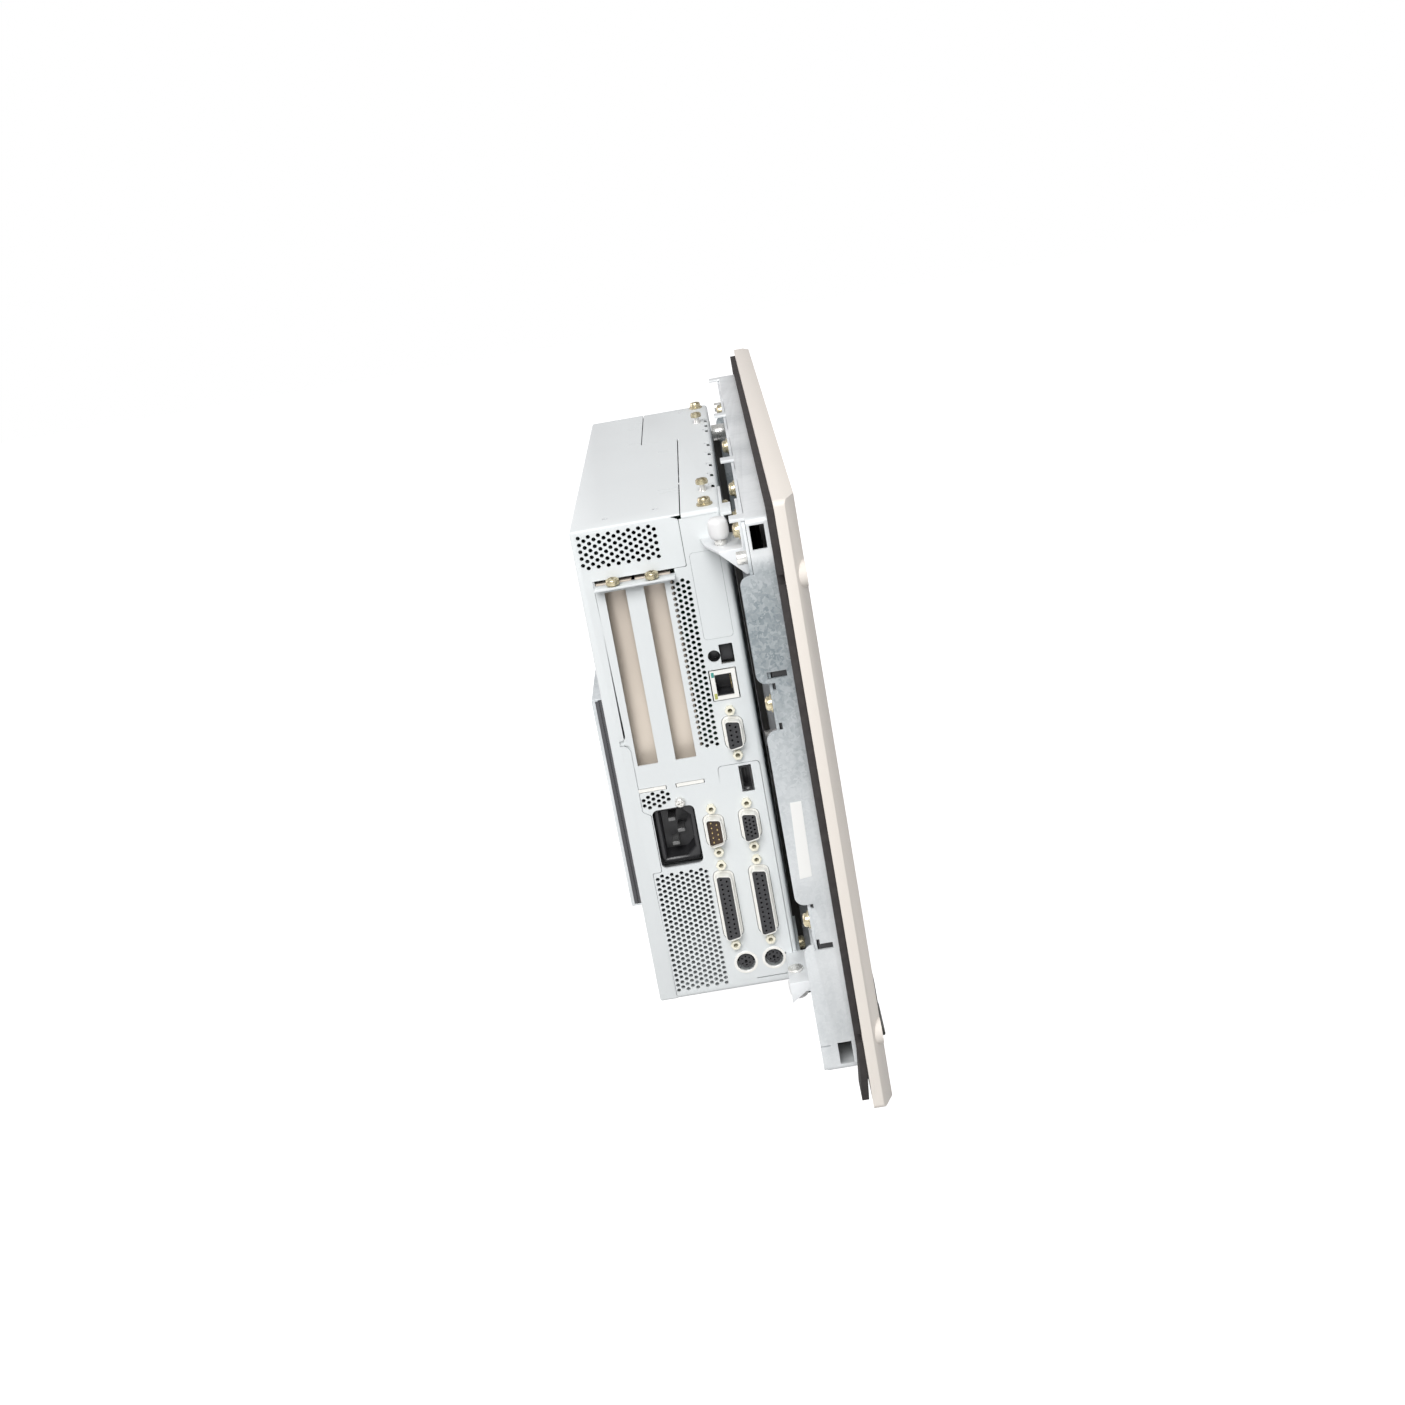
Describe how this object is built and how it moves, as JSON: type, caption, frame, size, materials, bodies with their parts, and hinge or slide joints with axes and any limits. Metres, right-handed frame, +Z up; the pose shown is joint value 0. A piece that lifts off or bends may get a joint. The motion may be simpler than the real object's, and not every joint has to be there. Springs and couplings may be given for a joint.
{
  "type": "industrial panel computer",
  "caption": "Rack-width operator panel computer: flat touch front with gasket, folded display tray and a hinged vented computer unit with port side.",
  "frame": {"origin": "centre of the four rack slots, on the rear face of the front panel", "axes": "+X to the right and +Z up seen from the operator's side, +Y from the operator to the rear"},
  "size_m": [0.4826, 0.1312, 0.3102],
  "materials": {
    "panel": "powder-coated light grey, satin",
    "glass": "clear touch glass",
    "display_metal": "plain drawn sheet",
    "screen": "dark, half gloss",
    "gasket": "black cellular rubber, matte",
    "galvanised": "galvanised, fine spangle",
    "unit_sheet": "light zinc-coated sheet, satin",
    "gold_zinc": "yellow chromate",
    "pin_steel": "bright drawn",
    "nylon": "white, slightly translucent",
    "board_green": "green circuit board",
    "socket_plastic": "dark grey moulding",
    "chip": "black moulding",
    "sink": "plain extruded",
    "disk_metal": "plain cast",
    "black_plastic": "black moulding",
    "connector_metal": "tinned, satin",
    "plug_plastic": "brown-black moulding",
    "contact": "gilt",
    "warm_steel": "nickelled sheet",
    "cover_rubber": "dark grey rubber",
    "drive_metal": "plain sheet",
    "drive_plastic": "dark grey moulding"
  },
  "bodies": {
    "operator_unit": {"bezel": "panel", "touch_glass": "glass", "display_case": "display_metal", "lcd_screen": "screen", "inverter_board": "board_green", "display_controller": "board_green", "gasket_side_strips": "gasket", "gasket_cross_strips": "gasket", "display_tray": "galvanised", "tray_rear_plate": "galvanised", "tray_screws": "gold_zinc", "guide_pins": "pin_steel", "hinge_brackets": "galvanised", "bracket_screws": "gold_zinc", "hinge_pins": "pin_steel", "catch_spacers": "pin_steel", "front_port": "connector_metal"},
    "computer_unit": {"chassis": "unit_sheet", "hood": "unit_sheet", "io_plate": "unit_sheet", "card_cover": "unit_sheet", "motherboard": "board_green", "riser_board": "board_green", "board_sockets": "socket_plastic", "memory_modules": "board_green", "processor": "chip", "heat_sink": "sink", "disk_cradle": "galvanised", "hard_disk": "disk_metal", "power_supply": "galvanised", "mains_inlet": "black_plastic", "inlet_pins": "contact", "fan_frame": "black_plastic", "slot_plates": "warm_steel", "case_screws": "gold_zinc", "nine_way_shells": "connector_metal", "nine_way_sockets": "socket_plastic", "serial_plug": "plug_plastic", "serial_plug_pins": "contact", "wide_shells": "connector_metal", "wide_sockets": "socket_plastic", "jack_screws": "connector_metal", "ethernet_socket": "connector_metal", "usb_shell": "connector_metal", "usb_tongue": "socket_plastic", "din_sockets": "black_plastic", "switch_block": "black_plastic", "drive_cover": "galvanised", "drive_case": "drive_metal", "stand_screws": "gold_zinc", "hinge_leaves": "unit_sheet", "hinge_bushes": "nylon", "catch_ears": "unit_sheet", "catch_screws": "pin_steel"},
    "port_cover": {"port_cover": "cover_rubber"},
    "fan_rotor": {"fan_rotor": "black_plastic"},
    "eject_button": {"eject_button": "black_plastic"},
    "reset_button": {"reset_button": "black_plastic"},
    "disc_tray": {"disc_tray": "drive_plastic"},
    "drive_button": {"drive_button": "drive_plastic"}
  },
  "joints": [
    {"name": "unit_hinge", "type": "hinge", "parent": "operator_unit", "child": "computer_unit", "pos_m": [-0.1555, 0.0273, -0.001], "axis": [0, 0, 1], "range_deg": [0, 90]},
    {"name": "port_cover_hinge", "type": "hinge", "parent": "operator_unit", "child": "port_cover", "pos_m": [-0.2, -0.0112, -0.087], "axis": [-1, 0, 0], "range_deg": [0, 110], "stiffness_Nm_per_rad": 0.01},
    {"name": "eject_press", "type": "slide", "parent": "computer_unit", "child": "eject_button", "axis": [1, 0, 0], "range_m": [0, 0.0018], "stiffness_N_per_m": 300},
    {"name": "reset_press", "type": "slide", "parent": "computer_unit", "child": "reset_button", "axis": [1, 0, 0], "range_m": [0, 0.0012], "stiffness_N_per_m": 300},
    {"name": "disc_tray_slide", "type": "slide", "parent": "computer_unit", "child": "disc_tray", "axis": [-1, 0, 0], "range_m": [0, 0.118]},
    {"name": "drive_button_press", "type": "slide", "parent": "disc_tray", "child": "drive_button", "axis": [1, 0, 0], "range_m": [0, 0.0005], "stiffness_N_per_m": 200},
    {"name": "fan_spin", "type": "hinge", "parent": "computer_unit", "child": "fan_rotor", "pos_m": [0.157, 0.0592, 0.0725], "axis": [1, 0, 0], "continuous": true}
  ]
}
